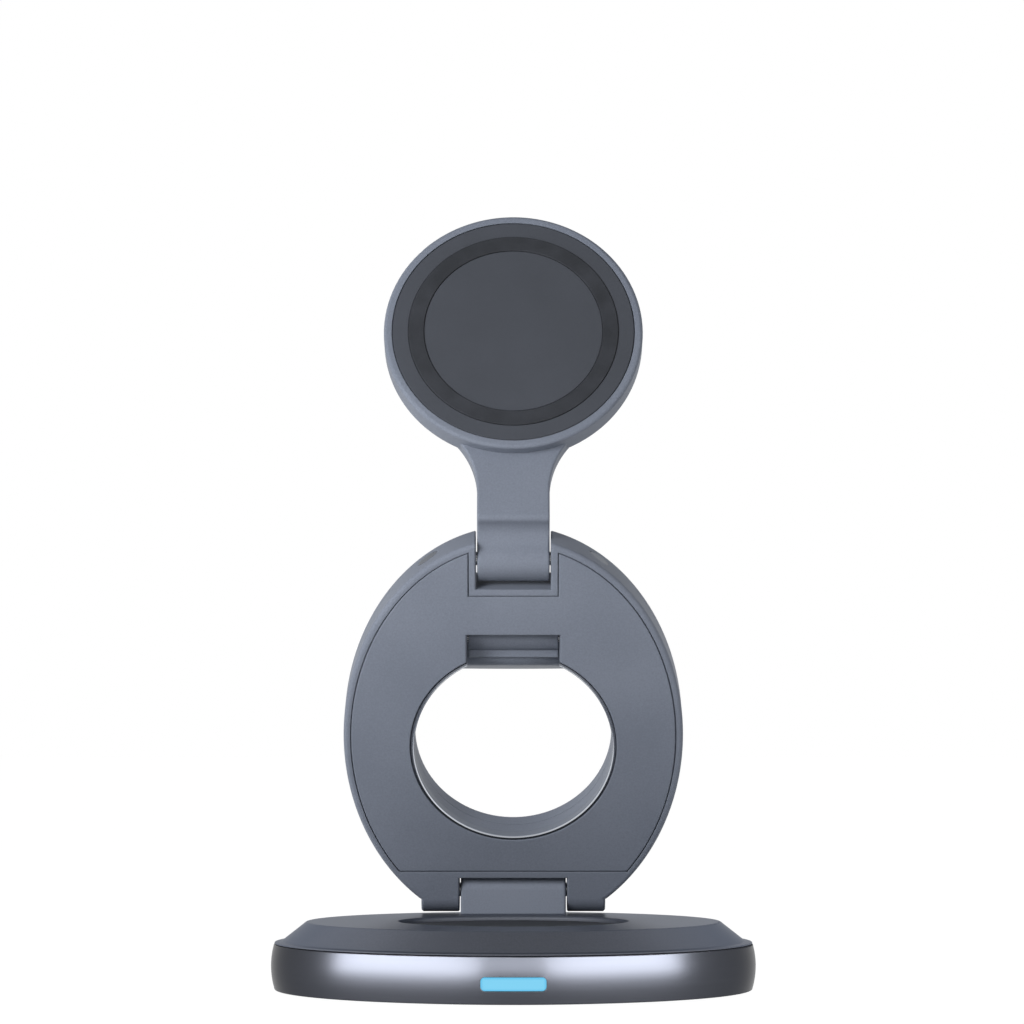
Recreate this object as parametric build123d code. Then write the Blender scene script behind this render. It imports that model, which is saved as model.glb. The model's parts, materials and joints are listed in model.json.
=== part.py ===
from build123d import *
import math
import os

# Folding stand that charges a phone, a watch and an earbuds case, in millimetres.
# Z is up, X is to the right, and the front of the stand looks along -Y.
# The origin is on the table, below the middle of the round base.

# Clearances
fit_gap = 0.1  # between fixed pieces that slot into each other
swing_gap = 0.42  # between a swinging piece and what it passes
side_gap = 0.3  # beside a knuckle, along its pin
pin_gap = 0.05  # radial running fit of every pin
seam_gap = 0.12  # fine joint line between the two shells of the arm

# Foot and bottom of the base
foot_stand = 0.4  # the foot pad holds the base this far off the table
foot_inset = 3.4  # the foot pad's edge inside the rim band
foot_pocket_depth = 0.8
foot_edge_round = 0.3
bottom_thickness = 2.6
screw_inset = 7.4  # the screws inside the rim band
screw_count = 4
screw_first_angle = 45.0
screw_radius = 1.0
screw_length = 6.0
screw_head_radius = 1.9
screw_head_height = 1.0
boss_radius = 2.6

# Rim band of the base
rim_height = 9.9
rim_bulge_radius = 53.0  # the base's widest radius, that every other radius of its outside follows
rim_bottom_draw = 0.8  # how far the lower edge lies inside the bulge
rim_top_draw = 0.65
rim_wall = 1.8  # at its lower edge
rim_edge_round = 0.3
light_width = 13.6
light_height = 2.9
light_corner = 0.9
light_rise = 4.2  # middle of the light bar above the rim's lower edge
light_flange = 2.0
light_flange_depth = 1.8

# Top cover of the base
ledge_setback = 0.1  # the ledge's edge inside the band's upper edge
ledge_width = 1.6
ledge_lip = 0.22  # upright edge of the ledge above the parting line
ledge_edge_round = 0.2
ledge_rise = 0.6
parting_gap = 0.14
parting_depth = 0.6
chamfer_rise = 4.18
chamfer_run = 5.35
flat_edge_round = 0.8
ledge_round = 0.5
top_wall = 2.0
skirt_wall = 1.8
skirt_depth = 2.5
chamfer_wall_shift = 0.6

# Earbuds recess and what charges through it
recess_radius = 24.9
recess_depth = 1.0
recess_chamfer = 0.45
recess_floor = 1.0
recess_wall = 1.5
earbuds_pad_thickness = 0.8
earbuds_pad_round = 0.3
earbuds_coil_outer = 21.0
earbuds_coil_inner = 9.0
coil_thickness = 1.2
shield_thickness = 0.8
shield_margin = 0.8  # a shield is this much wider than its coil

# Ballast, board and power inlet
ballast_thickness = 3.0
ballast_bore = 12.0
ballast_margin = 0.4
post_height = 1.0
post_radius = 2.0
post_circle_radius = 22.0
post_count = 3
board_thickness = 1.2
board_radius = 30.0
board_tab_width = 15.0
board_tab_gap = 0.5
chip_height = 1.4
# Middle and size of each chip on the board
board_chips = ((-11, 12, 9, 9), (10, 11, 7, 7), (-12, -10, 6, 8), (11, -11, 10, 6), (0, 24, 5, 4))
inlet_width = 8.94
inlet_height = 3.26
inlet_length = 7.4
inlet_wall = 0.3
inlet_depth = 6.2
inlet_setback = 0.5  # the inlet's mouth behind the band's widest radius
tongue_width = 6.7
tongue_thickness = 0.7
tongue_length = 4.4

# Oval arm with its round window, drawn flat: x across, y up the arm, z to its front
arm_lean = 25.0  # degrees forward of upright
arm_thickness = 10.0
arm_half_width = 38.1
oval_overhang = 8.4  # the oval's lower end below the lower hinge
oval_rise = 1.9  # the oval's middle above the window's
window_radius = 22.25
front_edge_round = 0.9
rear_edge_round = 2.4
notch_edge = 0.25  # fine chamfer on the cheeks of the hinge notches
front_shell_depth = 6.0
panel_rim = 1.7  # width of the edge that is left around the inset face
panel_thickness = 0.8
panel_groove = 0.18
panel_edge = 0.15  # fine chamfer round the inset face
panel_hinge_margin = 1.7
trim_width = 0.75
trim_depth = 2.4
trim_chamfer = 0.35
arm_wall = 3.0
window_wall = 2.5
front_wall = 2.5
rear_wall = 1.5
pocket_inner_x = 18.0
pocket_end_margin = 3.0
cover_end_margin = 3.0
ribbon_gap = 2.25  # from the window's wall
ribbon_width = 5.0
ribbon_thickness = 0.3
driver_gap = 1.25  # from the window's wall
driver_width = 6.0
driver_thickness = 1.0

# Lower hinge
hinge_inset = 7.1  # its axis inside the edge of the flat top
hinge_block_half = 12.0
hinge_block_round = 0.6
lower_knuckle_half = 21.0
lower_knuckle_edge = 0.4
lower_pin_radius = 1.6
bush_radius = 2.9
cap_radius = 3.6
cap_thickness = 1.2
cap_edge = 0.25
hinge_screw_radius = 1.25
hinge_screw_bite = 3.0
hinge_screw_head_radius = 2.2
hinge_screw_head_height = 1.4
hinge_screw_x = 8.0

# Top hinge and phone pad, drawn flat: x across, y away from the hinge, z to the charging face
pad_axis_drop = 6.6  # the top hinge below the oval's upper end
pad_lean = 20.5  # degrees back from upright
pad_reach = 50.0
pad_radius = 29.0
pad_thickness = 7.5
pad_floor = 1.8
pad_rim = 1.8
pad_ledge = 1.0
pad_front_round = 0.8
pad_rear_round = 2.0
pad_face_thickness = 1.6
pad_face_edge = 0.2
pad_neck_half = 8.0
pad_neck_thickness = 4.6
pad_neck_lap = 5.0
pad_neck_round = 1.5
pad_neck_edge = 0.5
pad_neck_straight = 12.0  # the neck's sides are straight this far from the hinge
pad_neck_flare = 6.0  # each side is this much wider at the disc
pad_pin_radius = 1.5
pad_pin_half = 14.0
grip_outer_radius = 23.5
grip_width = 3.5
grip_depth = 0.5
grip_proud = 0.3
grip_round = 0.2
magnet_inner_radius = 22.0
magnet_width = 3.2
magnet_thickness = 2.0
magnet_count = 16
magnet_gap_angle = 3.0
pad_coil_outer = 20.4
pad_coil_inner = 8.0
pad_board_radius = 19.0
pad_board_thickness = 1.0

# Watch disc, drawn flat: x across, y away from its hinge, z to the charging face
watch_axis_inset = 1.55  # the hinge lies this far outside the window's edge
watch_axis_back = 2.2  # and this far behind the arm's middle, so that the disc swings clear
watch_gap = 0.5
watch_swing_gap = 0.38  # between the swinging disc and the window's upper edge
watch_thickness = 8.0
watch_round = 1.8
watch_split = 5.0
watch_floor = 1.5
watch_wall = 2.3
watch_knuckle_half = 10.0
watch_notch_gap = 0.6
watch_slab_reach = 6.0
watch_pin_radius = 1.0
watch_pin_bite = 5.0
dish_radius = 16.0
dish_thickness = 1.7
dish_setback = 0.3
dish_hollow = 1.0
dish_lip = 0.8
dish_ledge_width = 1.4
watch_coil_outer = 13.4
watch_coil_inner = 5.6
watch_magnet_gap = 0.4

# Radii, heights and places that follow from the sizes above
rim_bottom_radius = rim_bulge_radius - rim_bottom_draw
rim_top_radius = rim_bulge_radius - rim_top_draw
rim_inner_radius = rim_bottom_radius - rim_wall
foot_radius = rim_inner_radius - foot_inset
screw_circle_radius = rim_inner_radius - screw_inset
ledge_outer_radius = rim_top_radius - ledge_setback
ledge_inner_radius = ledge_outer_radius - ledge_width
flat_radius = ledge_inner_radius - chamfer_run
cover_low = foot_stand
foot_top = cover_low + foot_pocket_depth
cover_high = cover_low + bottom_thickness
rim_low = foot_stand
rim_top = rim_low + rim_height
base_top = rim_top + ledge_rise + chamfer_rise
skirt_outer = rim_inner_radius - fit_gap
skirt_inner = skirt_outer - skirt_wall
skirt_low = rim_top - skirt_depth
wall_low = base_top - top_wall
earbuds_pad_top = base_top - recess_depth
earbuds_pad_low = earbuds_pad_top - earbuds_pad_thickness
floor_low = earbuds_pad_low - recess_floor
ballast_high = cover_high + ballast_thickness
board_low = ballast_high + post_height
board_high = board_low + board_thickness
inlet_height_z = board_low - inlet_height / 2
light_z = rim_low + light_rise
knuckle_radius = arm_thickness / 2
hinge_y = flat_radius - hinge_inset
window_centre = hinge_y  # the window then lies over the recess when the arm is folded
oval_centre = window_centre + oval_rise
arm_half_height = oval_centre + oval_overhang
pad_axis = oval_centre + arm_half_height - pad_axis_drop
hinge_z = base_top + knuckle_radius + swing_gap
lower_notch = knuckle_radius + swing_gap
top_notch = pad_axis - knuckle_radius - swing_gap
front_z = arm_thickness / 2
seam_z = front_z - front_shell_depth
watch_axis = window_centre + window_radius + watch_axis_inset
watch_radius = window_radius - watch_gap
watch_centre = watch_axis - window_centre
watch_knuckle_radius = knuckle_radius - watch_axis_back  # flush with the arm's back
watch_low = -watch_thickness / 2 - watch_axis_back
watch_high = watch_low + watch_thickness
watch_notch = watch_axis + watch_knuckle_radius + watch_notch_gap
cover_start = lower_notch + cover_end_margin
cover_end = top_notch - cover_end_margin
pad_back = knuckle_radius + swing_gap
pad_front = pad_back + pad_thickness
pad_face_low = pad_front - pad_face_thickness

arm_place = Pos(0, hinge_y, hinge_z) * Rot(X=90 + arm_lean)
pad_place = Pos((arm_place * Pos(0, pad_axis, 0)).position) * Rot(X=90 - pad_lean)
watch_place = Pos((arm_place * Pos(0, watch_axis, -watch_axis_back)).position)

reach = 3 * rim_bulge_radius  # longer than anything that a cut has to pass through


def disc(radius, low, high):
    """Upright cylinder between two heights."""
    return Pos(0, 0, low) * Cylinder(radius, high - low, align=(Align.CENTER, Align.CENTER, Align.MIN))


def ring(outer, inner, low, high):
    """Upright flat ring between two heights."""
    return disc(outer, low, high) - disc(inner, low, high)


def block(left, right, near, far, low, high):
    """Box between two corners."""
    box = Box(right - left, far - near, high - low)
    return Pos((left + right) / 2, (near + far) / 2, (low + high) / 2) * box


def rod(radius, left, right, edge=0):
    """Cylinder along X between two places, with chamfered ends where an edge is given."""
    bar = Cylinder(radius, right - left)
    if edge:
        bar = chamfer(bar.edges().filter_by(GeomType.CIRCLE), edge)
    return Pos((left + right) / 2, 0, 0) * Rot(Y=90) * bar


def both_sides(piece):
    """A piece and its mirror image across the middle of the stand."""
    return [piece, mirror(piece, Plane.YZ)]


def turned(outline):
    """Solid turned about Z from a closed outline of radius and height."""
    return revolve(Plane.XZ * outline, Axis.Z)


def eased(face, corners, radius):
    """Flat face with the corners nearest to the given points rounded."""
    picked = [face.vertices().sort_by_distance(corner)[0] for corner in corners]
    return fillet(picked, radius)


def bar_through_rim(width, height, corner, z, to_front):
    """Rounded bar from the middle of the base out through the rim band."""
    section = Plane.XZ * Pos(0, z) * RectangleRounded(width, height, corner)
    return extrude(section, amount=reach if to_front else -reach)


def rim_outline(inner):
    """Barrel-sided outline of the rim band."""
    low_out = (rim_bottom_radius, rim_low)
    high_out = (rim_top_radius, rim_top)
    middle = (rim_bulge_radius, (rim_low + rim_top) / 2)
    sides = Polyline(high_out, (inner, rim_top), (inner, rim_low), low_out)
    face = make_face(sides + ThreePointArc(low_out, middle, high_out))
    return eased(face, [low_out, high_out], rim_edge_round)


def screw(radius, length, head_radius, head_height):
    """Upright screw with its head below and its seat at height zero."""
    return disc(radius, 0, length) + disc(head_radius, -head_height, 0)


screw_spots = [spot for spot in PolarLocations(screw_circle_radius, screw_count, screw_first_angle)]
screw_seat = foot_top + screw_head_height


def make_foot_pad():
    foot = disc(foot_radius, 0, foot_top)
    return fillet(foot.edges().group_by(Axis.Z)[0], foot_edge_round)


def make_base_bottom_cover():
    cover = disc(rim_inner_radius - fit_gap, cover_low, cover_high)
    cover -= disc(foot_radius + fit_gap, cover_low, foot_top)
    for spot in screw_spots:
        cover -= spot * disc(screw_head_radius + fit_gap, foot_top, screw_seat)
        cover -= spot * disc(screw_radius + fit_gap, screw_seat, cover_high)
    return cover


def make_bottom_screws():
    one = Pos(0, 0, screw_seat) * screw(screw_radius, screw_length, screw_head_radius, screw_head_height)
    return [spot * one for spot in screw_spots]


def make_base_ballast():
    weight = ring(screw_circle_radius - boss_radius - ballast_margin, ballast_bore, cover_high, ballast_high)
    for spot in PolarLocations(post_circle_radius, post_count, 90):
        weight += spot * disc(post_radius, cover_high, board_low)
    return weight


def make_base_rim_band():
    band = turned(rim_outline(rim_inner_radius))
    band -= bar_through_rim(light_width, light_height, light_corner, light_z, True)
    width = inlet_width + 2 * fit_gap
    return band - bar_through_rim(width, inlet_height + 2 * fit_gap, inlet_height / 2, inlet_height_z, False)


def make_led_light_pipe():
    width = light_width - 2 * fit_gap
    height = light_height - 2 * fit_gap
    window = bar_through_rim(width, height, light_corner - fit_gap, light_z, True) & turned(rim_outline(0))
    flange = bar_through_rim(width + 2 * light_flange, height, light_corner - fit_gap, light_z, True)
    flange &= disc(rim_inner_radius - fit_gap, 0, rim_top)
    return window + flange - disc(rim_inner_radius - light_flange_depth, 0, rim_top)


def top_cover_outline():
    lip = ledge_outer_radius - parting_depth
    flat_edge = (flat_radius, base_top)
    outer_edge = (ledge_outer_radius, rim_top + parting_gap + ledge_lip)
    ledge_edge = (ledge_inner_radius, rim_top + ledge_rise)
    outline = Polyline(
        (skirt_outer, skirt_low),
        (skirt_outer, rim_top),
        (lip, rim_top),
        (lip, rim_top + parting_gap),
        (ledge_outer_radius, rim_top + parting_gap),
        outer_edge,
        ledge_edge,
        flat_edge,
        (recess_radius + recess_chamfer, base_top),
        (recess_radius, base_top - recess_chamfer),
        (recess_radius, earbuds_pad_low),
        (0, earbuds_pad_low),
        (0, floor_low),
        (recess_radius + recess_wall, floor_low),
        (recess_radius + recess_wall, wall_low),
        (flat_radius - chamfer_wall_shift, wall_low),
        (skirt_inner, rim_top),
        (skirt_inner, skirt_low),
        close=True,
    )
    face = eased(make_face(outline), [flat_edge], flat_edge_round)
    face = eased(face, [outer_edge], ledge_edge_round)
    return eased(face, [ledge_edge], ledge_round)


def make_base_top_cover():
    cover = turned(top_cover_outline())
    for spot in screw_spots:
        cover += spot * disc(boss_radius, cover_high, wall_low + top_wall / 2)
        cover -= spot * disc(screw_radius + pin_gap, cover_high, screw_seat + screw_length + pin_gap)
    for x in (-hinge_screw_x, hinge_screw_x):
        cover -= Pos(x, hinge_y) * disc(hinge_screw_radius + fit_gap, wall_low, base_top)
    return cover


def make_earbuds_pad():
    pad = disc(recess_radius - fit_gap, earbuds_pad_low, earbuds_pad_top)
    return fillet(pad.edges().group_by(Axis.Z)[-1], earbuds_pad_round)


def make_earbuds_coil():
    return ring(earbuds_coil_outer, earbuds_coil_inner, floor_low - coil_thickness, floor_low)


def make_earbuds_shield():
    high = floor_low - coil_thickness
    return disc(earbuds_coil_outer + shield_margin, high - shield_thickness, high)


def make_base_circuit_board():
    half_tab = board_tab_width / 2
    tab_end = math.sqrt(skirt_inner**2 - half_tab**2) - board_tab_gap
    board = disc(board_radius, board_low, board_high)
    board += block(-half_tab, half_tab, -tab_end, tab_end, board_low, board_high)
    for x, y, long, wide in board_chips:
        board += Pos(x, y, board_high + chip_height / 2) * Box(long, wide, chip_height)
    return board


def make_power_inlet():
    mouth = rim_bulge_radius - inlet_setback
    side = Plane.XZ * Pos(0, inlet_height_z)
    bore_height = inlet_height - 2 * inlet_wall
    outside = RectangleRounded(inlet_width, inlet_height, inlet_height / 2 - fit_gap)
    inside = RectangleRounded(inlet_width - 2 * inlet_wall, bore_height, bore_height / 2 - fit_gap)
    shell = extrude(side * outside, amount=-inlet_length)
    bore = extrude(side * inside, amount=-inlet_depth)
    tongue = extrude(side * Rectangle(tongue_width, tongue_thickness), amount=-tongue_length)
    back = mouth - inlet_length
    floor = mouth - inlet_depth
    return Pos(0, back, 0) * shell - Pos(0, floor, 0) * bore + Pos(0, floor, 0) * tongue


def make_base_hinge_block():
    knuckle = Pos(0, hinge_y, hinge_z) * rod(knuckle_radius, -hinge_block_half, hinge_block_half)
    near = hinge_y - knuckle_radius
    far = hinge_y + knuckle_radius
    low = base_top - hinge_block_round
    knuckle += block(-hinge_block_half, hinge_block_half, near, far, low, hinge_z)
    ends = knuckle.edges().group_by(Axis.X)
    knuckle = fillet(ends[0] + ends[-1], hinge_block_round)
    knuckle -= block(-hinge_block_half, hinge_block_half, near, far, low, base_top)
    knuckle -= Pos(0, hinge_y, hinge_z) * rod(lower_pin_radius + pin_gap, -hinge_block_half, hinge_block_half)
    for x in (-hinge_screw_x, hinge_screw_x):
        top = base_top + hinge_screw_bite + pin_gap
        knuckle -= Pos(x, hinge_y) * disc(hinge_screw_radius + pin_gap, base_top, top)
    return knuckle


def make_hinge_screws():
    length = top_wall + hinge_screw_bite
    one = screw(hinge_screw_radius, length, hinge_screw_head_radius, hinge_screw_head_height)
    return both_sides(Pos(hinge_screw_x, hinge_y, wall_low) * one)


def make_base_hinge_pin():
    half = lower_knuckle_half - cap_thickness - fit_gap
    return Pos(0, hinge_y, hinge_z) * rod(lower_pin_radius, -half, half)


def oval(inset):
    """Outline of the arm, made smaller all round."""
    return Pos(0, oval_centre) * Ellipse(arm_half_width - inset, arm_half_height - inset)


def between(low, high, face):
    """Flat face of the arm made a solid from one depth to another."""
    return Pos(0, 0, low) * extrude(face, amount=high - low)


def cheek_edges(piece, half, low, high):
    """Edges round the two flat cheeks of a knuckle or notch, with their middles between two heights."""
    upright = piece.faces().filter_by(Axis.X)
    cheeks = [face for face in upright if abs(abs(face.center().X) - half) < pin_gap]
    edges = [edge for face in cheeks for edge in face.outer_wire().edges()]
    return [edge for edge in edges if low + pin_gap < edge.center().Y < high - pin_gap]


def watch_notch_cut():
    """Room for the watch disc's knuckle at the top of the window."""
    half = watch_knuckle_half + side_gap
    return block(-half, half, window_centre, watch_notch, -reach, reach)


def watch_swing_cut():
    """Path of the watch disc's edge as it swings out behind its hinge."""
    edge = Pos(0, -watch_centre) * Circle(watch_radius + watch_swing_gap)
    return Pos(0, watch_axis, -watch_axis_back) * revolve(edge, Axis.X, 90)


def arm_blank():
    """Whole arm with its knuckles and window, before it is split into shells."""
    arm = between(-front_z, front_z, oval(0))
    rims = arm.edges().group_by(Axis.Z)
    arm = fillet(rims[-1], front_edge_round)
    arm = fillet(arm.edges().group_by(Axis.Z)[0], rear_edge_round)
    arm -= block(-reach, reach, -reach, 0, -reach, reach)
    arm += rod(knuckle_radius, -lower_knuckle_half, lower_knuckle_half, lower_knuckle_edge)
    half = hinge_block_half + side_gap
    arm -= block(-half, half, -reach, lower_notch, -reach, reach)
    arm = chamfer(cheek_edges(arm, half, -reach, lower_notch), notch_edge)
    half = pad_neck_half + side_gap
    arm -= block(-half, half, top_notch, reach, -reach, reach)
    arm = chamfer(cheek_edges(arm, half, top_notch, reach), notch_edge)
    arm -= Pos(0, window_centre) * disc(window_radius, -reach, reach)
    return arm - watch_notch_cut() - watch_swing_cut()


def cover_zone(gap):
    """Part of the arm's back that the rear cover takes."""
    return block(-reach, reach, cover_start + gap, cover_end - gap, -reach, seam_z - gap)


def side_pockets(low, high, inset=0):
    """Two crescents beside the window that hold the ribbon cable and the driver board."""
    crescent = oval(arm_wall + inset) - Pos(0, window_centre) * Circle(window_radius + window_wall + inset)
    solid = between(low, high, crescent)
    edge = pocket_inner_x + inset
    solid -= block(-edge, edge, -reach, reach, -reach, reach)
    start = cover_start + pocket_end_margin + inset
    end = cover_end - pocket_end_margin - inset
    return solid & block(-reach, reach, start, end, -reach, reach)


def panel_face(grow):
    """Inset front face of the arm, made larger all round by the groove's width."""
    inner_radius = window_radius + trim_width + panel_groove - grow
    face = oval(panel_rim - grow) - Pos(0, window_centre) * Circle(inner_radius)
    low_edge = lower_notch + panel_hinge_margin - grow
    face -= Pos(0, low_edge) * Rectangle(reach, reach, align=(Align.CENTER, Align.MAX))
    high_edge = top_notch - panel_hinge_margin + grow
    half = pad_neck_half + side_gap + panel_hinge_margin - grow
    face -= Pos(0, high_edge) * Rectangle(2 * half, reach, align=(Align.CENTER, Align.MIN))
    half = watch_knuckle_half + side_gap + panel_groove - grow
    notch_height = watch_notch + panel_groove - grow - window_centre
    face -= Pos(0, window_centre) * Rectangle(2 * half, notch_height, align=(Align.CENTER, Align.MIN))
    return face


def make_arm_front_panel():
    panel = between(front_z - panel_thickness, front_z, panel_face(0))
    return chamfer(panel.edges().group_by(Axis.Z)[-1], panel_edge)


def make_hole_trim_ring():
    outer = window_radius + trim_width
    outline = Polyline(
        (window_radius, front_z - trim_depth),
        (outer, front_z - trim_depth),
        (outer, front_z),
        (window_radius + trim_chamfer, front_z),
        (window_radius, front_z - trim_chamfer),
        close=True,
    )
    return Pos(0, window_centre) * turned(make_face(outline)) - watch_notch_cut()


def make_arm_frame():
    frame = arm_blank() - cover_zone(0)
    frame -= between(front_z - panel_thickness, front_z, panel_face(panel_groove))
    seat = window_radius + trim_width + fit_gap
    frame -= Pos(0, window_centre) * disc(seat, front_z - trim_depth, front_z)
    frame -= side_pockets(seam_z, front_z - front_wall)
    frame -= rod(bush_radius + pin_gap, -lower_knuckle_half, lower_knuckle_half)
    for cap in both_sides(rod(cap_radius + fit_gap, lower_knuckle_half - cap_thickness, lower_knuckle_half)):
        frame -= cap
    return frame - Pos(0, pad_axis) * rod(pad_pin_radius + pin_gap, -reach, reach)


def make_arm_rear_cover():
    cover = arm_blank() & cover_zone(seam_gap)
    cover -= side_pockets(rear_wall - front_z, seam_z)
    half = watch_knuckle_half + side_gap + watch_pin_bite
    slot = watch_pin_radius + pin_gap
    cover -= Pos(0, watch_axis, -watch_axis_back) * rod(slot, -half, half)
    return cover - block(-half, half, watch_axis - slot, watch_axis + slot, -watch_axis_back, seam_z)


def make_arm_hinge_bushes():
    start = hinge_block_half + side_gap
    end = lower_knuckle_half - cap_thickness
    return both_sides(rod(bush_radius, start, end) - rod(lower_pin_radius + pin_gap, start, end))


def make_arm_hinge_caps():
    return both_sides(rod(cap_radius, lower_knuckle_half - cap_thickness, lower_knuckle_half, cap_edge))


def curved_strip(gap, width, thickness, side):
    """Band round the window inside one side pocket, laid on the front shell."""
    high = front_z - front_wall
    inner = window_radius + window_wall + gap
    strip = Pos(0, window_centre) * ring(inner + width, inner, high - thickness, high)
    left, right = (0, reach) if side > 0 else (-reach, 0)
    strip &= block(left, right, -reach, reach, -reach, reach)
    return strip & side_pockets(high - thickness, high, fit_gap)


def make_arm_ribbon_cable():
    return curved_strip(ribbon_gap, ribbon_width, ribbon_thickness, 1)


def make_arm_circuit_board():
    return curved_strip(driver_gap, driver_width, driver_thickness, -1)


def make_top_hinge_pin():
    return Pos(0, pad_axis) * rod(pad_pin_radius, -pad_pin_half, pad_pin_half)


def make_top_hinge_caps():
    plug = Pos(0, pad_axis) * rod(pad_pin_radius, pad_pin_half + fit_gap, arm_half_width)
    return both_sides(plug & arm_blank())


def make_watch_hinge_pin():
    half = watch_knuckle_half + side_gap + watch_pin_bite - fit_gap
    return Pos(0, watch_axis, -watch_axis_back) * rod(watch_pin_radius, -half, half)


watch_seam = watch_low + watch_split
dish_low = watch_high - dish_setback - dish_thickness


def make_watch_lower_shell():
    shell = Pos(0, watch_centre) * disc(watch_radius, watch_low, watch_seam)
    shell = fillet(shell.edges().group_by(Axis.Z)[0], watch_round)
    half = watch_knuckle_half
    shell += block(-half, half, 0, watch_slab_reach, watch_low + watch_round, watch_high)
    shell += rod(watch_knuckle_radius, -half, half)
    hollow = watch_radius - watch_wall
    shell -= Pos(0, watch_centre) * disc(hollow, watch_low + watch_floor, watch_seam)
    return shell - rod(watch_pin_radius + pin_gap, -half, half)


def make_watch_upper_shell():
    shell = Pos(0, watch_centre) * disc(watch_radius, watch_seam, watch_high)
    shell = fillet(shell.edges().group_by(Axis.Z)[-1], watch_round)
    shell -= Pos(0, watch_centre) * disc(dish_radius - dish_ledge_width, watch_seam, watch_high)
    shell -= Pos(0, watch_centre) * disc(dish_radius + fit_gap, dish_low, watch_high)
    half = watch_knuckle_half + fit_gap
    return shell - block(-half, half, -reach, watch_slab_reach + fit_gap, -reach, reach)


def make_watch_dish():
    dish = disc(dish_radius, dish_low, dish_low + dish_thickness)
    mouth = dish_radius - dish_lip
    bowl = (mouth**2 + dish_hollow**2) / (2 * dish_hollow)
    dish -= Pos(0, 0, dish_low + dish_thickness - dish_hollow + bowl) * Sphere(bowl)
    return Pos(0, watch_centre) * dish


def make_watch_coil():
    low = dish_low - coil_thickness
    return Pos(0, watch_centre) * ring(watch_coil_outer, watch_coil_inner, low, dish_low)


def make_watch_magnet():
    radius = watch_coil_inner - watch_magnet_gap
    return Pos(0, watch_centre) * disc(radius, dish_low - coil_thickness, dish_low)


def make_watch_shield():
    high = dish_low - coil_thickness
    return Pos(0, watch_centre) * disc(watch_coil_outer + shield_margin, high - shield_thickness, high)


def pad_neck():
    """Neck from the hinge's barrel to the disc, swept clear of the base that it folds down to."""
    end = pad_reach - pad_radius + pad_neck_lap
    front = pad_back + pad_neck_thickness
    sweep = front - knuckle_radius
    bend = (knuckle_radius, knuckle_radius - pad_neck_round)
    tip = (sweep, front)
    sides = Polyline(tip, (end, front), (end, pad_back), (bend[0] + pad_neck_round, pad_back), bend)
    sides += Polyline(bend, (knuckle_radius, 0), (0, 0), (0, knuckle_radius))
    profile = make_face(sides + TangentArc((0, knuckle_radius), tip, tangent=(1, 0)))
    profile = eased(profile, [tip], pad_neck_round)
    wide = pad_neck_half + pad_neck_flare
    neck = Pos(-wide) * extrude(Plane.YZ * profile, amount=2 * wide)
    edge = Polyline((0, 0), (pad_neck_half, 0), (pad_neck_half, pad_neck_straight))
    edge += TangentArc((pad_neck_half, pad_neck_straight), (wide, end), tangent=(0, 1))
    edge += Line((wide, end), (0, end))
    return neck & between(0, front, make_face(edge + mirror(edge, Plane.YZ)))


def make_pad_rear_shell():
    shell = disc(pad_radius, pad_back, pad_front)
    shell = fillet(shell.edges().group_by(Axis.Z)[-1], pad_front_round)
    shell = fillet(shell.edges().group_by(Axis.Z)[0], pad_rear_round)
    shell = Pos(0, pad_reach) * shell
    stem = pad_neck() + rod(knuckle_radius, -pad_neck_half, pad_neck_half)
    shell += fillet(cheek_edges(stem, pad_neck_half, -reach, pad_neck_straight), pad_neck_edge)
    face_radius = pad_radius - pad_rim
    shell -= Pos(0, pad_reach) * disc(face_radius, pad_face_low, pad_front)
    shell -= Pos(0, pad_reach) * disc(face_radius - pad_ledge, pad_back + pad_floor, pad_face_low)
    return shell - rod(pad_pin_radius + pin_gap, -pad_neck_half, pad_neck_half)


def grip_cut(grow):
    """Ring let into the pad's face."""
    inner = grip_outer_radius - grip_width
    return ring(grip_outer_radius + grow, inner - grow, pad_front - grip_depth, pad_front + grip_proud)


def make_pad_front_disc():
    face = disc(pad_radius - pad_rim - fit_gap, pad_face_low, pad_front)
    face = chamfer(face.edges().group_by(Axis.Z)[-1], pad_face_edge)
    return Pos(0, pad_reach) * (face - grip_cut(fit_gap))


def make_pad_grip_ring():
    grip = grip_cut(0)
    return Pos(0, pad_reach) * fillet(grip.edges().group_by(Axis.Z)[-1], grip_round)


def make_pad_magnets():
    step = 360 / magnet_count
    outer = magnet_inner_radius + magnet_width
    span = math.radians(step - magnet_gap_angle) / 2
    far = 2 * outer
    half = far * math.tan(span)
    wedge = make_face(Polyline((0, 0), (far, -half), (far, half), close=True))
    low = pad_face_low - magnet_thickness
    one = ring(outer, magnet_inner_radius, low, pad_face_low) & between(low, pad_face_low, wedge)
    return [Pos(0, pad_reach) * Rot(Z=step * index) * one for index in range(magnet_count)]


def make_pad_coil():
    low = pad_face_low - coil_thickness
    return Pos(0, pad_reach) * ring(pad_coil_outer, pad_coil_inner, low, pad_face_low)


def make_pad_shield():
    high = pad_face_low - coil_thickness
    return Pos(0, pad_reach) * disc(pad_coil_outer + shield_margin, high - shield_thickness, high)


def make_pad_circuit_board():
    low = pad_back + pad_floor
    return Pos(0, pad_reach) * disc(pad_board_radius, low, low + pad_board_thickness)


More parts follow.
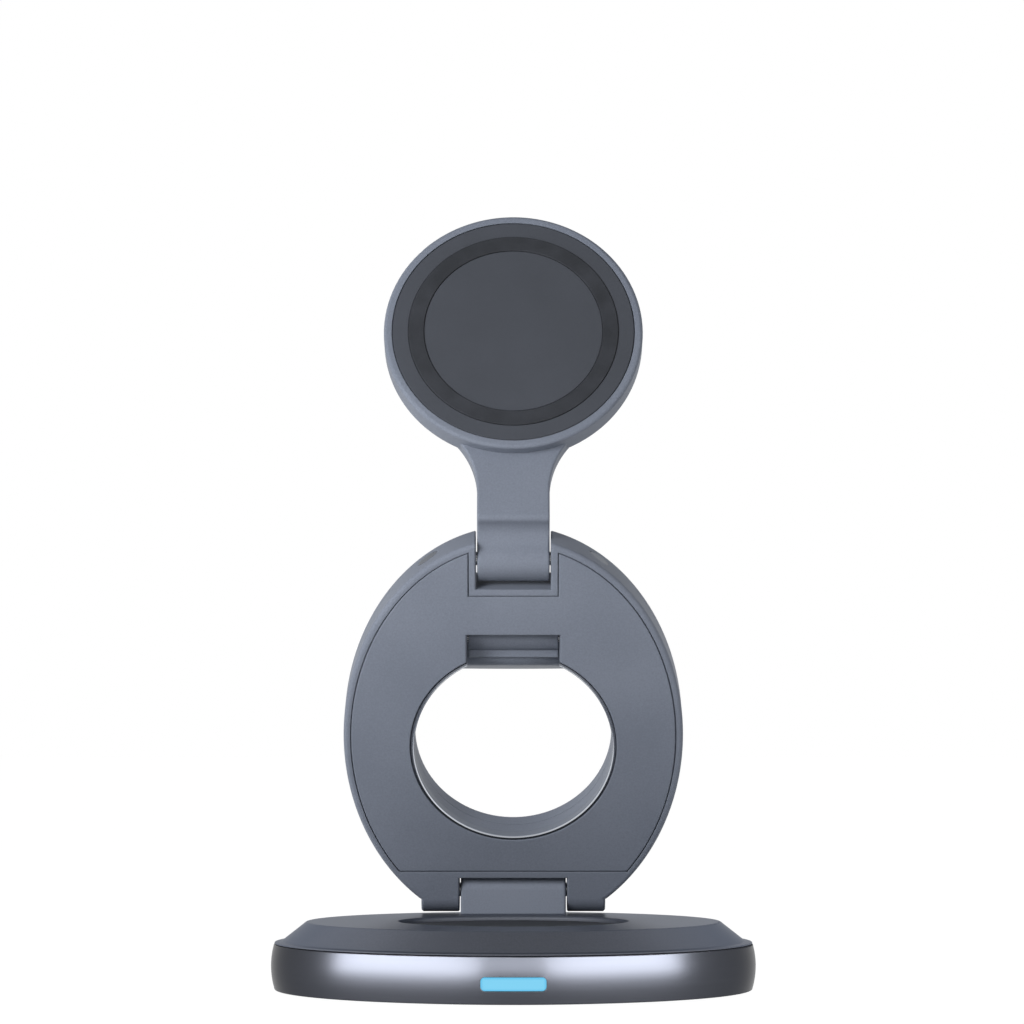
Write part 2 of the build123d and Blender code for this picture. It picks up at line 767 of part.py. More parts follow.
base_pieces = {
    "foot_pad": make_foot_pad(),
    "base_bottom_cover": make_base_bottom_cover(),
    "bottom_screws": make_bottom_screws(),
    "base_ballast": make_base_ballast(),
    "base_rim_band": make_base_rim_band(),
    "led_light_pipe": make_led_light_pipe(),
    "base_top_cover": make_base_top_cover(),
    "earbuds_pad": make_earbuds_pad(),
    "earbuds_coil": make_earbuds_coil(),
    "earbuds_shield": make_earbuds_shield(),
    "base_circuit_board": make_base_circuit_board(),
    "power_inlet": make_power_inlet(),
    "base_hinge_block": make_base_hinge_block(),
    "hinge_screws": make_hinge_screws(),
    "base_hinge_pin": make_base_hinge_pin(),
}
arm_pieces = {
    "arm_frame": make_arm_frame(),
    "arm_front_panel": make_arm_front_panel(),
    "arm_rear_cover": make_arm_rear_cover(),
    "hole_trim_ring": make_hole_trim_ring(),
    "arm_hinge_bushes": make_arm_hinge_bushes(),
    "arm_hinge_caps": make_arm_hinge_caps(),
    "arm_ribbon_cable": make_arm_ribbon_cable(),
    "arm_circuit_board": make_arm_circuit_board(),
    "top_hinge_pin": make_top_hinge_pin(),
    "top_hinge_caps": make_top_hinge_caps(),
    "watch_hinge_pin": make_watch_hinge_pin(),
}
watch_pieces = {
    "watch_lower_shell": make_watch_lower_shell(),
    "watch_upper_shell": make_watch_upper_shell(),
    "watch_dish": make_watch_dish(),
    "watch_coil": make_watch_coil(),
    "watch_magnet": make_watch_magnet(),
    "watch_shield": make_watch_shield(),
}
pad_pieces = {
    "pad_rear_shell": make_pad_rear_shell(),
    "pad_front_disc": make_pad_front_disc(),
    "pad_grip_ring": make_pad_grip_ring(),
    "pad_magnets": make_pad_magnets(),
    "pad_coil": make_pad_coil(),
    "pad_shield": make_pad_shield(),
    "pad_circuit_board": make_pad_circuit_board(),
}

os.makedirs("parts", exist_ok=True)
bodies = (
    (base_pieces, Pos(0, 0, 0)),
    (arm_pieces, arm_place),
    (watch_pieces, watch_place),
    (pad_pieces, pad_place),
)
for pieces, place in bodies:
    for name, made in pieces.items():
        group = made if isinstance(made, list) else [made]
        solids = [place * solid for piece in group for solid in piece.solids()]
        export_step(solids[0] if len(solids) == 1 else Compound(children=solids), f"parts/{name}.step")

for name, place in (("arm", arm_place), ("pad", pad_place), ("watch", watch_place)):
    spot = place.position
    print(f"{name} hinge axis at y {spot.Y:.4f} z {spot.Z:.4f}")
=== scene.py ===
import json
import math

import bmesh
import bpy
from mathutils import Matrix, Vector


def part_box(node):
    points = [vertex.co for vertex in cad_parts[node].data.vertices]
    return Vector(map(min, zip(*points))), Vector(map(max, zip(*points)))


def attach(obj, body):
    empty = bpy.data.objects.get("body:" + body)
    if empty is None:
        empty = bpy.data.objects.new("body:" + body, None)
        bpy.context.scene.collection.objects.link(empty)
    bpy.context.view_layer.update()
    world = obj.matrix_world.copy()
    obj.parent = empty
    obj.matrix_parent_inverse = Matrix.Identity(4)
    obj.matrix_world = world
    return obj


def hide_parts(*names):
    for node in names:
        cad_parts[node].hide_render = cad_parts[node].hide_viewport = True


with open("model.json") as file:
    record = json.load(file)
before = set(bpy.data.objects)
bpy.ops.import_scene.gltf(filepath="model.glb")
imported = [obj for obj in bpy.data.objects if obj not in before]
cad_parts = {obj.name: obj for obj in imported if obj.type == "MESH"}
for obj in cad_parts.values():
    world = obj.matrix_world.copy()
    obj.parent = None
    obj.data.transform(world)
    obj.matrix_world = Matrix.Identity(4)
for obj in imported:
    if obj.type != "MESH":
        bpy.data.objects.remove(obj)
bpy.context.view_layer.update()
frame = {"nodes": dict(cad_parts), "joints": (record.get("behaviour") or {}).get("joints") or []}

MM = 0.001

# Places of the hinges and lean of the two tilted pieces, as the stand is built
hinge_at = {joint["name"]: Vector(joint["pos_m"]) for joint in frame["joints"]}
arm_lean = 25.0  # degrees forward of upright
pad_lean = 20.5  # degrees back from upright
arm_turn = (math.radians(90 + arm_lean), 0, 0)
pad_turn = (math.radians(90 - pad_lean), 0, 0)
window_rise = 38.2  # middle of the window above the lower hinge, in mm along the arm
pad_reach = 50.0  # middle of the upper pad above its hinge, in mm along the pad
watch_reach = 23.8  # middle of the flip-out disc behind its hinge, in mm
light_middle = (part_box("led_light_pipe")[0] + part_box("led_light_pipe")[1]) / 2

arm_up = Matrix.Rotation(arm_turn[0], 3, "X") @ Vector((0, 1, 0))
pad_up = Matrix.Rotation(pad_turn[0], 3, "X") @ Vector((0, 1, 0))
window_at = hinge_at["arm_fold"] + arm_up * window_rise * MM
pad_at = hinge_at["pad_tilt"] + pad_up * pad_reach * MM
watch_at = hinge_at["watch_flip"] + Vector((0, watch_reach * MM, 0))


def linear(colour):
    """Linear colour of an sRGB hex value."""
    parts = [int(colour[i:i + 2], 16) / 255 for i in (1, 3, 5)]
    return tuple(c / 12.92 if c <= 0.04045 else ((c + 0.055) / 1.055) ** 2.4 for c in parts) + (1.0,)


def add(tree, kind, values=None, links=None, **settings):
    """Add a node with its settings, the values of its inputs and the links into them."""
    made = tree.nodes.new("ShaderNode" + kind)
    for name, value in settings.items():
        setattr(made, name, value)
    for name, value in (values or {}).items():
        made.inputs[name].default_value = value
    for name, source in (links or {}).items():
        tree.links.new(source, made.inputs[name])
    return made


def material(name, centre=(0, 0, 0), turn=(0, 0, 0)):
    """New material with an empty tree, and millimetres measured from a centre along turned axes."""
    made = bpy.data.materials.new(name)
    made.use_nodes = True
    tree = made.node_tree
    tree.nodes.clear()
    coords = add(tree, "TexCoord")
    place = add(tree, "Mapping", {"Location": centre, "Rotation": turn, "Scale": (MM, MM, MM)},
                {"Vector": coords.outputs["Object"]}, vector_type="TEXTURE")
    return made, tree, place.outputs["Vector"]


def finish(made, values, links):
    """Give a material its shader."""
    shader = add(made.node_tree, "BsdfPrincipled", values, links)
    add(made.node_tree, "OutputMaterial", links={"Surface": shader.outputs[0]})
    return made


# The grit of a blasted surface is about 0.1 mm; it is drawn four times as coarse so that it shows.
grit_mm = 0.4
# Machined and moulded edges are broken by this much.
edge_break_mm = 0.2
# At scale 1 a wave texture repeats each 2 pi / 20 units.
wave_period = math.tau / 20


def bead_blasted(name, dark, light, metallic, rough, edge_tint, edge_mm):
    """Blasted and anodised aluminium: an even frosted grain, a faint drift of tone, softened edges."""
    made, tree, place = material(name)
    drift_mm, relief_mm = 25.0, 0.006
    grain = add(tree, "TexNoise", {"Scale": 1 / grit_mm, "Detail": 2.0}, {"Vector": place})
    drift = add(tree, "TexNoise", {"Scale": 1 / drift_mm, "Detail": 1.0}, {"Vector": place})
    both = add(tree, "Mix", {0: 0.5}, {2: grain.outputs["Fac"], 3: drift.outputs["Fac"]})
    spread = add(tree, "MapRange", {"From Min": 0.38, "From Max": 0.62}, {"Value": both.outputs[0]})
    colour = add(tree, "Mix", {6: linear(dark), 7: linear(light)}, {0: spread.outputs[0]},
                 data_type="RGBA")
    haze = add(tree, "MapRange", {"To Min": rough - 0.05, "To Max": rough + 0.05},
               {"Value": grain.outputs["Fac"]})
    edges = add(tree, "Bevel", {"Radius": edge_mm * MM}, samples=4)
    bump = add(tree, "Bump", {"Strength": 0.6, "Distance": relief_mm * MM},
               {"Height": grain.outputs["Fac"], "Normal": edges.outputs[0]})
    return finish(made, {"Metallic": metallic, "Specular Tint": linear(edge_tint)},
                  {"Base Color": colour.outputs[2], "Roughness": haze.outputs[0],
                   "Normal": bump.outputs[0]})


def polished_gunmetal():
    """Turned, polished and dyed band: lathe lines run round it and smear what it mirrors up and down."""
    made, tree, place = material("polished_gunmetal_aluminium")
    # The tool's lines are about 0.15 mm apart; they are drawn wider so that they show.
    line_mm, line_length_mm = 0.7, 60.0
    stretch = (1 / line_length_mm, 1 / line_length_mm, 1 / line_mm)
    along = add(tree, "VectorMath", {1: stretch}, {0: place}, operation="MULTIPLY")
    lines = add(tree, "TexNoise", {"Scale": 1.0, "Detail": 3.0}, {"Vector": along.outputs[0]})
    colour = add(tree, "Mix", {6: linear("#3F4147"), 7: linear("#42444A")}, {0: lines.outputs["Fac"]},
                 data_type="RGBA")
    haze = add(tree, "MapRange", {"To Min": 0.3, "To Max": 0.33}, {"Value": lines.outputs["Fac"]})
    edges = add(tree, "Bevel", {"Radius": edge_break_mm * MM}, samples=4)
    round_it = add(tree, "Tangent", direction_type="RADIAL", axis="Z")
    return finish(made, {"Metallic": 1.0, "Anisotropic": 0.45, "Anisotropic Rotation": 0.25,
                         "Specular Tint": linear("#C0C0C0")},
                  {"Base Color": colour.outputs[2], "Roughness": haze.outputs[0],
                   "Normal": edges.outputs[0], "Tangent": round_it.outputs[0]})


def diamond_cut_trim():
    """Window ring: anodised grey wall, with only its front chamfer cut bright by a diamond tool."""
    made, tree, place = material("diamond_cut_aluminium", window_at, arm_turn)
    front_mm, chamfer_mm, blur_mm = 5.0, 0.27, 0.05
    cut_from = front_mm - chamfer_mm
    depth = add(tree, "SeparateXYZ", links={"Vector": place})
    cut = add(tree, "MapRange", {"From Min": cut_from, "From Max": cut_from + blur_mm},
              {"Value": depth.outputs["Z"]})
    grain = add(tree, "TexNoise", {"Scale": 1 / grit_mm}, {"Vector": place})
    wall = add(tree, "Mix", {6: linear("#6C727D"), 7: linear("#717782")}, {0: grain.outputs["Fac"]},
               data_type="RGBA")
    colour = add(tree, "Mix", {7: linear("#C9CDD4")}, {0: cut.outputs[0], 6: wall.outputs[2]},
                 data_type="RGBA")
    bare = add(tree, "MapRange", {"To Min": 0.3, "To Max": 1.0}, {"Value": cut.outputs[0]})
    haze = add(tree, "MapRange", {"To Min": 0.5, "To Max": 0.2}, {"Value": cut.outputs[0]})
    return finish(made, {}, {"Base Color": colour.outputs[2], "Metallic": bare.outputs[0],
                             "Roughness": haze.outputs[0]})


def lathe_turned(name, dark, light, rough, centre=(0, 0, 0), pitch_mm=0.45):
    """Bar turned about a hinge line: fine rings on its ends that catch the light in a fan."""
    # The tool's rings are about 0.1 mm apart; they are drawn wider so that they show.
    made, tree, place = material(name, centre)
    relief_mm = 0.004
    rings = add(tree, "TexWave", {"Scale": wave_period / pitch_mm, "Distortion": 0.6, "Detail": 2.0},
                {"Vector": place}, wave_type="RINGS", rings_direction="X")
    colour = add(tree, "Mix", {6: linear(dark), 7: linear(light)}, {0: rings.outputs["Fac"]},
                 data_type="RGBA")
    haze = add(tree, "MapRange", {"To Min": rough - 0.05, "To Max": rough + 0.05},
               {"Value": rings.outputs["Fac"]})
    edges = add(tree, "Bevel", {"Radius": edge_break_mm / 2 * MM}, samples=4)
    bump = add(tree, "Bump", {"Distance": relief_mm * MM},
               {"Height": rings.outputs["Fac"], "Normal": edges.outputs[0]})
    return finish(made, {"Metallic": 1.0},
                  {"Base Color": colour.outputs[2], "Roughness": haze.outputs[0],
                   "Normal": bump.outputs[0]})


def moulded_abs():
    """Injection-moulded ABS: dark grey with the fine pits of a spark-eroded mould, each pit darkened by
    painted shade.
    """
    made, tree, place = material("moulded_dark_abs")
    pit_depth_mm = 0.02
    pits = add(tree, "TexVoronoi", {"Scale": 1 / grit_mm}, {"Vector": place})
    # Painted shade: the colour darkens towards each pit's middle, where the bump sinks deepest.
    colour = add(tree, "Mix", {6: linear("#33363B"), 7: linear("#3E4147")},
                 {0: pits.outputs["Distance"]}, data_type="RGBA")
    haze = add(tree, "MapRange", {"To Min": 0.45, "To Max": 0.6}, {"Value": pits.outputs["Distance"]})
    bump = add(tree, "Bump", {"Strength": 0.5, "Distance": pit_depth_mm * MM},
               {"Height": pits.outputs["Distance"]})
    return finish(made, {"IOR": 1.53}, {"Base Color": colour.outputs[2], "Roughness": haze.outputs[0],
                                        "Normal": bump.outputs[0]})


def silicone_rubber():
    """Moulded silicone: nearly black, dull, with a faint bloom of dust that lightens it in patches."""
    made, tree, place = material("dark_silicone_rubber")
    bloom_mm, relief_mm = 6.0, 0.015
    bloom = add(tree, "TexNoise", {"Scale": 1 / bloom_mm, "Detail": 5.0}, {"Vector": place})
    skin = add(tree, "TexNoise", {"Scale": 1 / grit_mm}, {"Vector": place})
    spread = add(tree, "MapRange", {"From Min": 0.35, "From Max": 0.7}, {"Value": bloom.outputs["Fac"]})
    colour = add(tree, "Mix", {6: linear("#26282C"), 7: linear("#2F3136")}, {0: spread.outputs[0]},
                 data_type="RGBA")
    haze = add(tree, "MapRange", {"To Min": 0.62, "To Max": 0.78}, {"Value": skin.outputs["Fac"]})
    bump = add(tree, "Bump", {"Strength": 0.5, "Distance": relief_mm * MM},
               {"Height": skin.outputs["Fac"]})
    return finish(made, {"IOR": 1.41}, {"Base Color": colour.outputs[2], "Roughness": haze.outputs[0],
                                        "Normal": bump.outputs[0]})


def soft_touch_lacquer():
    """Soft-touch lacquer on the charging faces: velvety dark grey with a fine orange-peel."""
    made, tree, place = material("soft_touch_lacquer")
    peel_mm, drift_mm, relief_mm = 0.8, 15.0, 0.01
    peel = add(tree, "TexNoise", {"Scale": 1 / peel_mm, "Detail": 2.0}, {"Vector": place})
    drift = add(tree, "TexNoise", {"Scale": 1 / drift_mm}, {"Vector": place})
    colour = add(tree, "Mix", {6: linear("#33363C"), 7: linear("#3B3E45")}, {0: drift.outputs["Fac"]},
                 data_type="RGBA")
    haze = add(tree, "MapRange", {"To Min": 0.48, "To Max": 0.6}, {"Value": peel.outputs["Fac"]})
    bump = add(tree, "Bump", {"Strength": 0.5, "Distance": relief_mm * MM},
               {"Height": peel.outputs["Fac"]})
    return finish(made, {"IOR": 1.5}, {"Base Color": colour.outputs[2], "Roughness": haze.outputs[0],
                                       "Normal": bump.outputs[0]})


def lit_acrylic():
    """Frosted acrylic bar lit from behind: an even blue that falls off a little towards its edges."""
    made, tree, place = material("lit_frosted_acrylic", light_middle)
    half_width_mm, half_height_mm, falloff_mm, frost_mm = 6.7, 1.35, 0.5, 1.5
    apart = add(tree, "SeparateXYZ", links={"Vector": place})
    inside = []
    for axis, half in (("X", half_width_mm), ("Z", half_height_mm)):
        size = add(tree, "Math", links={0: apart.outputs[axis]}, operation="ABSOLUTE")
        inside.append(add(tree, "MapRange", {"From Min": half, "From Max": half - falloff_mm},
                          {"Value": size.outputs[0]}))
    glow = add(tree, "Math", links={0: inside[0].outputs[0], 1: inside[1].outputs[0]},
               operation="MULTIPLY")
    frost = add(tree, "TexNoise", {"Scale": 1 / frost_mm, "Detail": 2.0}, {"Vector": place})
    lamp = add(tree, "Mix", {6: linear("#5DC4EE"), 7: linear("#7FD6F8")}, {0: glow.outputs[0]},
               data_type="RGBA")
    haze = add(tree, "MapRange", {"To Min": 0.35, "To Max": 0.45}, {"Value": frost.outputs["Fac"]})
    return finish(made, {"Base Color": linear("#0B2430"), "IOR": 1.49, "Emission Strength": 0.88},
                  {"Emission Color": lamp.outputs[2], "Roughness": haze.outputs[0]})


def glossy_dish():
    """Polished polycarbonate dish of the flip-out disc: pale, with a clear soft reflection."""
    made, tree, place = material("polished_pale_polycarbonate")
    drift_mm = 9.0
    drift = add(tree, "TexNoise", {"Scale": 1 / drift_mm, "Detail": 2.0}, {"Vector": place})
    colour = add(tree, "Mix", {6: linear("#C4C7CB"), 7: linear("#CED1D4")}, {0: drift.outputs["Fac"]},
                 data_type="RGBA")
    haze = add(tree, "MapRange", {"To Min": 0.16, "To Max": 0.22}, {"Value": drift.outputs["Fac"]})
    return finish(made, {"IOR": 1.58}, {"Base Color": colour.outputs[2], "Roughness": haze.outputs[0]})


def wound_copper(name, centre=(0, 0, 0), turn=(0, 0, 0)):
    """Flat coil of enamelled copper wire: copper turns, with painted shade darkening the gaps between
    them.
    """
    made, tree, place = material(name, centre, turn)
    wire_mm, groove_mm = 0.8, 0.2
    turns = add(tree, "TexWave", {"Scale": wave_period / wire_mm, "Distortion": 0.2}, {"Vector": place},
                wave_type="RINGS", rings_direction="Z")
    # Painted shade: the colour turns dark brown in the grooves between the turns, where the bump also
    # sinks.
    colour = add(tree, "Mix", {6: linear("#5A2A10"), 7: linear("#C27A42")}, {0: turns.outputs["Fac"]},
                 data_type="RGBA")
    haze = add(tree, "MapRange", {"To Min": 0.5, "To Max": 0.25}, {"Value": turns.outputs["Fac"]})
    bump = add(tree, "Bump", {"Distance": groove_mm * MM}, {"Height": turns.outputs["Fac"]})
    return finish(made, {"Metallic": 1.0},
                  {"Base Color": colour.outputs[2], "Roughness": haze.outputs[0],
                   "Normal": bump.outputs[0]})


def sintered(name, dark, light, pore_mm, metallic, rough):
    """Pressed and fired powder: a dull body speckled with pores, drawn larger so that they show, each
    pore darkened by painted shade.
    """
    made, tree, place = material(name)
    pore_depth_mm = 0.03
    pores = add(tree, "TexVoronoi", {"Scale": 1 / pore_mm}, {"Vector": place})
    # Painted shade: the colour darkens towards each pore's middle, where the bump sinks deepest.
    colour = add(tree, "Mix", {6: linear(dark), 7: linear(light)}, {0: pores.outputs["Distance"]},
                 data_type="RGBA")
    haze = add(tree, "MapRange", {"To Min": rough + 0.1, "To Max": rough},
               {"Value": pores.outputs["Distance"]})
    bump = add(tree, "Bump", {"Distance": pore_depth_mm * MM}, {"Height": pores.outputs["Distance"]})
    return finish(made, {"Metallic": metallic},
                  {"Base Color": colour.outputs[2], "Roughness": haze.outputs[0],
                   "Normal": bump.outputs[0]})


def plated_metal(name, dark, light, spangle_mm, rough):
    """Plated steel: bright, in faint grains that each mirror a little differently."""
    made, tree, place = material(name)
    spangle = add(tree, "TexVoronoi", {"Scale": 1 / spangle_mm}, {"Vector": place})
    shade = add(tree, "SeparateXYZ", links={"Vector": spangle.outputs["Color"]})
    colour = add(tree, "Mix", {6: linear(dark), 7: linear(light)}, {0: shade.outputs["X"]},
                 data_type="RGBA")
    haze = add(tree, "MapRange", {"To Min": rough - 0.05, "To Max": rough + 0.08},
               {"Value": shade.outputs["Y"]})
    return finish(made, {"Metallic": 1.0},
                  {"Base Color": colour.outputs[2], "Roughness": haze.outputs[0]})


def solder_mask():
    """Circuit board: green lacquer, a little lighter where copper tracks lie under it."""
    made, tree, place = material("green_solder_mask")
    run_mm, row_mm, track_mm, relief_mm = 5.0, 1.6, 0.12, 0.02
    tracks = add(tree, "TexBrick", {"Color1": linear("#173F2A"), "Color2": linear("#194430"),
                                    "Mortar": linear("#2B6B47"), "Scale": 1.0, "Brick Width": run_mm,
                                    "Row Height": row_mm, "Mortar Size": track_mm}, {"Vector": place})
    bump = add(tree, "Bump", {"Distance": relief_mm * MM}, {"Height": tracks.outputs["Fac"]})
    return finish(made, {"Roughness": 0.35},
                  {"Base Color": tracks.outputs["Color"], "Normal": bump.outputs[0]})


def polyimide_film():
    """Flat ribbon of amber film: clear enough that the copper tracks in it show as paler stripes."""
    made, tree, place = material("amber_polyimide_film")
    track_pitch_mm = 1.0
    tracks = add(tree, "TexWave", {"Scale": wave_period / track_pitch_mm}, {"Vector": place},
                 wave_type="BANDS", bands_direction="X")
    colour = add(tree, "Mix", {6: linear("#7A4A12"), 7: linear("#A3681F")}, {0: tracks.outputs["Fac"]},
                 data_type="RGBA")
    haze = add(tree, "MapRange", {"To Min": 0.42, "To Max": 0.32}, {"Value": tracks.outputs["Fac"]})
    return finish(made, {"IOR": 1.7}, {"Base Color": colour.outputs[2], "Roughness": haze.outputs[0]})


# Finishes of the pieces
blasted = bead_blasted("blasted_grey_aluminium", "#6B717D", "#747A86", 0.25, 0.52, "#B0B0B0", 0.35)
satin = bead_blasted("satin_grey_aluminium", "#767A84", "#7E828C", 0.84, 0.34, "#949AA6", 0.5)
cap = lathe_turned("turned_grey_cap", "#5F646E", "#6C727C", 0.35, hinge_at["arm_fold"])
plug = lathe_turned("turned_grey_plug", "#5F646E", "#6C727C", 0.35, hinge_at["pad_tilt"])
silicone = silicone_rubber()
ferrite = sintered("sintered_ferrite", "#232326", "#3A3A3D", 0.7, 0.0, 0.6)
magnet = plated_metal("nickel_plated_magnet", "#B1AEA5", "#C2BFB6", 1.2, 0.22)
steel = lathe_turned("turned_steel", "#B4B6BA", "#C8CACD", 0.25, hinge_at["arm_fold"])

finishes = {
    satin: ["base_top_cover"],
    blasted: ["arm_frame", "arm_front_panel", "arm_rear_cover", "pad_rear_shell", "watch_lower_shell",
              "watch_upper_shell", "base_hinge_block"],
    polished_gunmetal(): ["base_rim_band"],
    diamond_cut_trim(): ["hole_trim_ring"],
    cap: ["arm_hinge_caps"],
    plug: ["top_hinge_caps"],
    moulded_abs(): ["base_bottom_cover"],
    silicone: ["foot_pad", "earbuds_pad", "pad_grip_ring"],
    soft_touch_lacquer(): ["pad_front_disc"],
    lit_acrylic(): ["led_light_pipe"],
    glossy_dish(): ["watch_dish"],
    plated_metal("nickel_plated_steel", "#A9ABAE", "#BBBDC0", 0.9, 0.25): ["power_inlet"],
    steel: ["bottom_screws", "hinge_screws", "base_hinge_pin", "top_hinge_pin", "watch_hinge_pin"],
    plated_metal("zinc_plated_steel", "#77787A", "#8C8D8F", 3.0, 0.4): ["base_ballast"],
    sintered("sintered_bronze", "#6E5029", "#AA824D", 0.5, 1.0, 0.4): ["arm_hinge_bushes"],
    wound_copper("wound_copper_flat"): ["earbuds_coil"],
    wound_copper("wound_copper_disc", watch_at): ["watch_coil"],
    wound_copper("wound_copper_pad", pad_at, pad_turn): ["pad_coil"],
    ferrite: ["earbuds_shield", "watch_shield", "pad_shield"],
    magnet: ["pad_magnets", "watch_magnet"],
    solder_mask(): ["base_circuit_board", "arm_circuit_board", "pad_circuit_board"],
    polyimide_film(): ["arm_ribbon_cable"],
}
for stuff, nodes in finishes.items():
    for name in nodes:
        skins = frame["nodes"][name].data.materials
        skins.clear()
        skins.append(stuff)


# Pieces modelled here
def piece_from(shape, name, stuff, body):
    """Make a bmesh a piece that rides on a body, with its seams closed and its faces outwards."""
    bmesh.ops.remove_doubles(shape, verts=shape.verts, dist=0.001 * MM)
    bmesh.ops.recalc_face_normals(shape, faces=shape.faces)
    mesh = bpy.data.meshes.new(name)
    shape.to_mesh(mesh)
    shape.free()
    mesh.materials.append(stuff)
    piece = bpy.data.objects.new(name, mesh)
    bpy.context.collection.objects.link(piece)
    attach(piece, body)
    return piece


def ribbed_foot():
    """Silicone foot: smooth and slightly hollow in the middle, with grip ribs near its edge."""
    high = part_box("foot_pad")[1]
    radius, top = high.x / MM, high.z / MM
    hollow, hollow_radius, rib_pitch, rib_depth, edge_round = 0.25, 30.0, 1.5, 0.22, 0.3
    outline = [(0, hollow), (hollow_radius, hollow), (hollow_radius + hollow, 0)]
    rib = hollow_radius + 2 * rib_pitch
    while rib < radius - 2 * rib_pitch:
        outline += [(rib, 0), (rib + 0.25 * rib_pitch, rib_depth), (rib + 0.5 * rib_pitch, rib_depth),
                    (rib + 0.75 * rib_pitch, 0)]
        rib += rib_pitch
    outline += [(radius - edge_round, 0), (radius, edge_round), (radius, top), (0, top)]
    shape = bmesh.new()
    corners = [shape.verts.new((r * MM, 0, z * MM)) for r, z in outline]
    sides = [shape.edges.new(pair) for pair in zip(corners, corners[1:])]
    bmesh.ops.spin(shape, geom=corners + sides, cent=(0, 0, 0), axis=(0, 0, 1), angle=math.tau,
                   steps=144, use_merge=True)
    foot = piece_from(shape, "ribbed_foot", silicone, "base")
    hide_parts("foot_pad")


def inlet_contacts():
    """Gold-plated contacts, side by side on both faces of the inlet's tongue."""
    count, pitch, width, length, proud, edge = 12, 0.5, 0.28, 3.2, 0.03, 0.02
    tongue_thickness, tongue_tip_behind_mouth, contact_behind_tip = 0.7, 1.8, 0.4
    low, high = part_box("power_inlet")
    middle_z = (low.z + high.z) / 2
    near = high.y - (tongue_tip_behind_mouth + contact_behind_tip) * MM
    shape = bmesh.new()
    for face in (-1, 1):
        for index in range(count):
            pad = bmesh.ops.create_cube(shape, size=1.0)["verts"]
            bmesh.ops.scale(shape, verts=pad, vec=(width * MM, length * MM, 2 * proud * MM))
            place = ((index - (count - 1) / 2) * pitch * MM, near - length / 2 * MM,
                     middle_z + face * tongue_thickness / 2 * MM)
            bmesh.ops.translate(shape, verts=pad, vec=place)
    bmesh.ops.bevel(shape, geom=shape.edges[:], offset=edge * MM, affect="EDGES", segments=1,
                    profile=0.5, material=-1)
    gold = plated_metal("gold_plated_contact", "#C79A45", "#D9AE5A", 0.4, 0.25)
    piece_from(shape, "inlet_contacts", gold, "base")


ribbed_foot()
inlet_contacts()


# Floor, light and camera
def shows_white(tree):
    """1 for rays from the camera and from mirrors, which see a white background, and 0 for light."""
    path = add(tree, "LightPath")
    seen = path.outputs["Is Camera Ray"]
    for ray in ("Is Glossy Ray", "Is Transmission Ray"):
        both = add(tree, "Math", links={0: seen, 1: path.outputs[ray]}, operation="MAXIMUM")
        seen = both.outputs[0]
    return seen


def studio_floor():
    """Pale floor that keeps the stand's shadow, looks white from above and is clear from below."""
    radius, drop_mm, grain_mm, white_share = 12.0, 0.05, 250.0, 0.95
    shape = bmesh.new()
    bmesh.ops.create_circle(shape, cap_ends=True, segments=96, radius=radius)
    bmesh.ops.translate(shape, verts=shape.verts, vec=(0, 0, -drop_mm * MM))
    mesh = bpy.data.meshes.new("studio_floor")
    shape.to_mesh(mesh)
    shape.free()
    floor = bpy.data.objects.new("studio_floor", mesh)
    bpy.context.collection.objects.link(floor)
    made, tree, place = material("white_studio_floor")
    grain = add(tree, "TexNoise", {"Scale": 1 / grain_mm}, {"Vector": place})
    tint = add(tree, "Mix", {6: linear("#F2F2F2"), 7: linear("#F6F6F6")}, {0: grain.outputs["Fac"]},
               data_type="RGBA")
    matt = add(tree, "BsdfDiffuse", links={"Color": tint.outputs[2]})
    glow = add(tree, "Emission", {"Strength": 1.04})
    share = add(tree, "Math", {1: white_share}, {0: shows_white(tree)}, operation="MULTIPLY")
    both = add(tree, "MixShader", links={0: share.outputs[0], 1: matt.outputs[0], 2: glow.outputs[0]})
    side = add(tree, "NewGeometry")
    clear = add(tree, "BsdfTransparent")
    whole = add(tree, "MixShader", links={0: side.outputs["Backfacing"], 1: both.outputs[0],
                                          2: clear.outputs[0]})
    add(tree, "OutputMaterial", links={"Surface": whole.outputs[0]})
    mesh.materials.append(made)


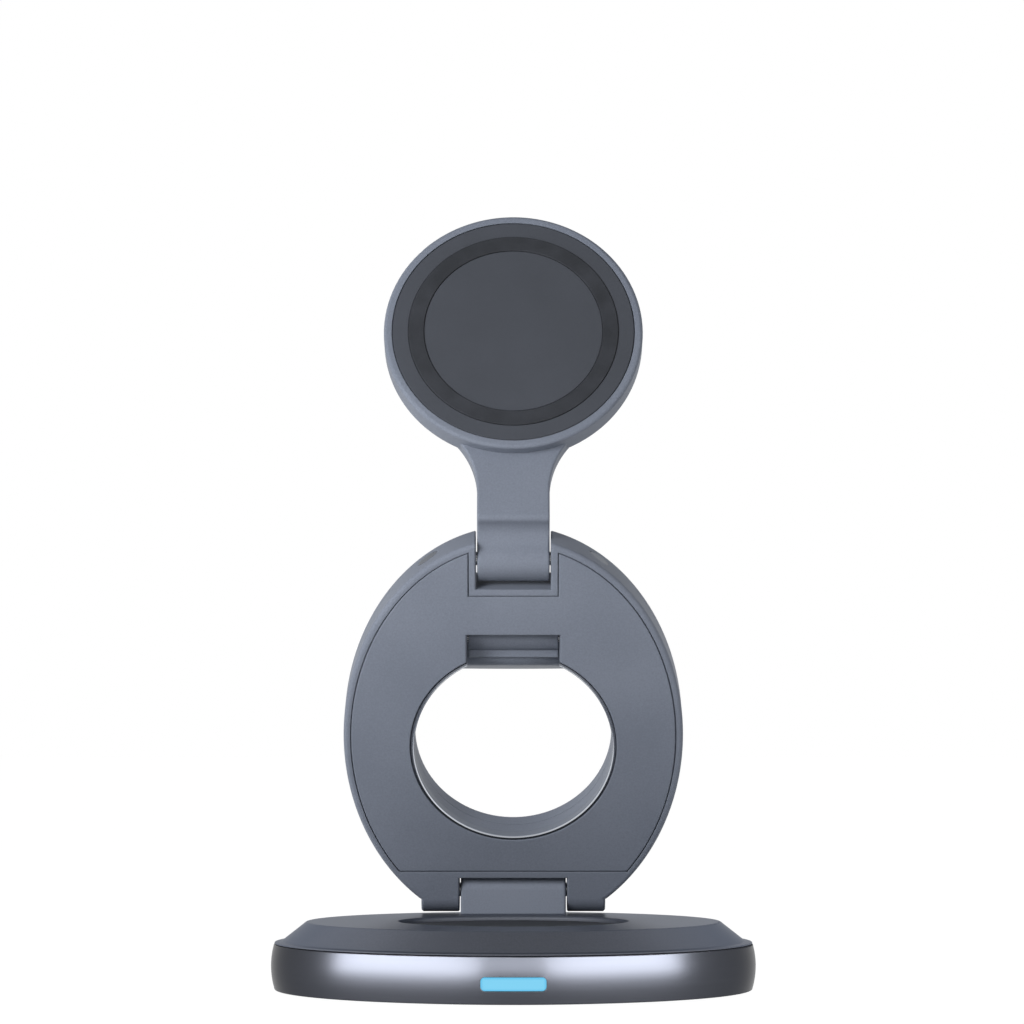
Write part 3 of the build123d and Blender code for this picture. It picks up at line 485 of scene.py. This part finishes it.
def studio_sky():
    """World that is white at the horizon and dimmer overhead, as under a studio's dark ceiling."""
    world = bpy.data.worlds.new("studio")
    bpy.context.scene.world = world
    world.use_nodes = True
    tree = world.node_tree
    tree.nodes.clear()
    coords = add(tree, "TexCoord")
    height = add(tree, "SeparateXYZ", links={"Vector": coords.outputs["Generated"]})
    ramp = add(tree, "ValToRGB", links={"Fac": height.outputs["Z"]})
    steps = ramp.color_ramp.elements
    steps[0].position = 0.21
    steps[0].color = linear("#FFFFFF")
    steps[1].position = 0.97
    steps[1].color = linear("#67686A")
    for level, tone in ((0.5, "#EDEEEF"), (0.7, "#C9CACC"), (0.88, "#8A8B8E")):
        steps.new(level).color = linear(tone)
    level = add(tree, "MapRange", {"To Min": 0.6, "To Max": 1.0}, {"Value": shows_white(tree)})
    sky = add(tree, "Background", links={"Color": ramp.outputs["Color"], "Strength": level.outputs[0]})
    add(tree, "OutputWorld", links={"Surface": sky.outputs[0]})


def soft_box(name, place, aim, wide, high, radiance, mirrored_by=None):
    """Rectangular studio light, or a panel whose only use is to be mirrored by one polished piece."""
    lamp = bpy.data.lights.new(name, "AREA")
    lamp.shape = "RECTANGLE"
    lamp.size = wide
    lamp.size_y = high
    lamp.energy = radiance * math.pi * wide * high
    piece = bpy.data.objects.new(name, lamp)
    piece.location = place
    piece.rotation_euler = (Vector(aim) - Vector(place)).to_track_quat("-Z", "Y").to_euler()
    piece.visible_camera = False
    piece.visible_diffuse = mirrored_by is None
    piece.visible_glossy = mirrored_by is not None
    if mirrored_by:
        lit = bpy.data.collections.new(name + "_lights")
        lit.objects.link(frame["nodes"][mirrored_by])
        piece.light_linking.receiver_collection = lit
    bpy.context.collection.objects.link(piece)


studio_floor()
studio_sky()
middle = (0, 0, 0.08)
# The key and the fill light the stand. The panels only draw the bright patches that the band mirrors.
soft_box("key_box", (-0.30, -0.32, 0.20), middle, 0.2, 0.2, 21.0)
soft_box("back_fill", (0.36, 0.46, 0.36), middle, 0.4, 0.4, 3.0)
soft_box("left_panel", (-0.89, -0.65, 0.33), middle, 1.75, 0.7, 18.6, "base_rim_band")
soft_box("right_panel", (0.844, -0.708, 0.36), middle, 1.55, 0.7, 18.6, "base_rim_band")
soft_box("front_panel", (0, -1.3, 0.42), middle, 0.5, 0.5, 10.0, "base_rim_band")

camera = bpy.data.objects.new("camera", bpy.data.cameras.new("camera"))
camera.data.lens = 132.1
camera.data.sensor_width = 36.0
camera.location = (-0.0003, -0.8276, 0.05426)
camera.rotation_euler = (math.radians(90) + 0.0611, 0, 0)
bpy.context.collection.objects.link(camera)
bpy.context.scene.camera = camera
bpy.context.scene.view_settings.view_transform = "Standard"
